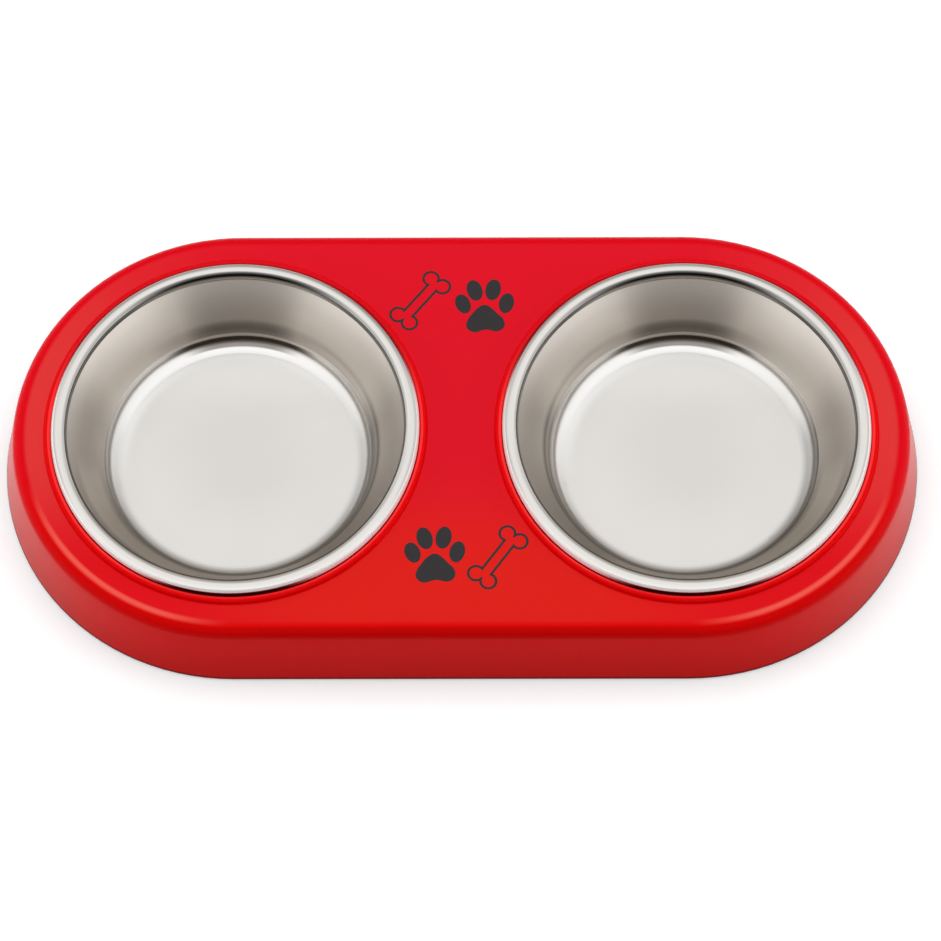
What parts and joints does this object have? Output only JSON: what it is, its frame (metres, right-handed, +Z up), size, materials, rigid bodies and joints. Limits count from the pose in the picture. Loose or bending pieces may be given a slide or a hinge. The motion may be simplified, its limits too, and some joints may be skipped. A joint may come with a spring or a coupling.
{
  "type": "double pet bowl",
  "caption": "Low double pet feeder: a stadium-shaped red plastic stand with a raised lip round each opening and lift-out steel bowls with rolled rims, on rubber feet.",
  "frame": {"origin": "middle of the stand's underside, on the table that the feet rest on", "axes": "+X along the length towards the right bowl, +Y towards the back, +Z up"},
  "size_m": [0.352, 0.1806, 0.0363],
  "materials": {
    "stand_plastic": "satin-gloss moulded red",
    "bowl_steel": "satin stainless inside, polished rolled rim",
    "foot_rubber": "matt black rubber",
    "print_ink": "printed charcoal ink on the deck"
  },
  "bodies": {
    "stand": {"stand": "stand_plastic", "foot_front_left": "foot_rubber", "foot_front_middle": "foot_rubber", "foot_front_right": "foot_rubber", "foot_rear_left": "foot_rubber", "foot_rear_middle": "foot_rubber", "foot_rear_right": "foot_rubber"},
    "left_bowl": {"left_bowl": "bowl_steel"},
    "right_bowl": {"right_bowl": "bowl_steel"}
  },
  "joints": [
    {"name": "left_bowl_lift", "type": "slide", "parent": "stand", "child": "left_bowl", "axis": [0, 0, 1], "range_m": [0, 0.08]},
    {"name": "right_bowl_lift", "type": "slide", "parent": "stand", "child": "right_bowl", "axis": [0, 0, 1], "range_m": [0, 0.08]}
  ]
}
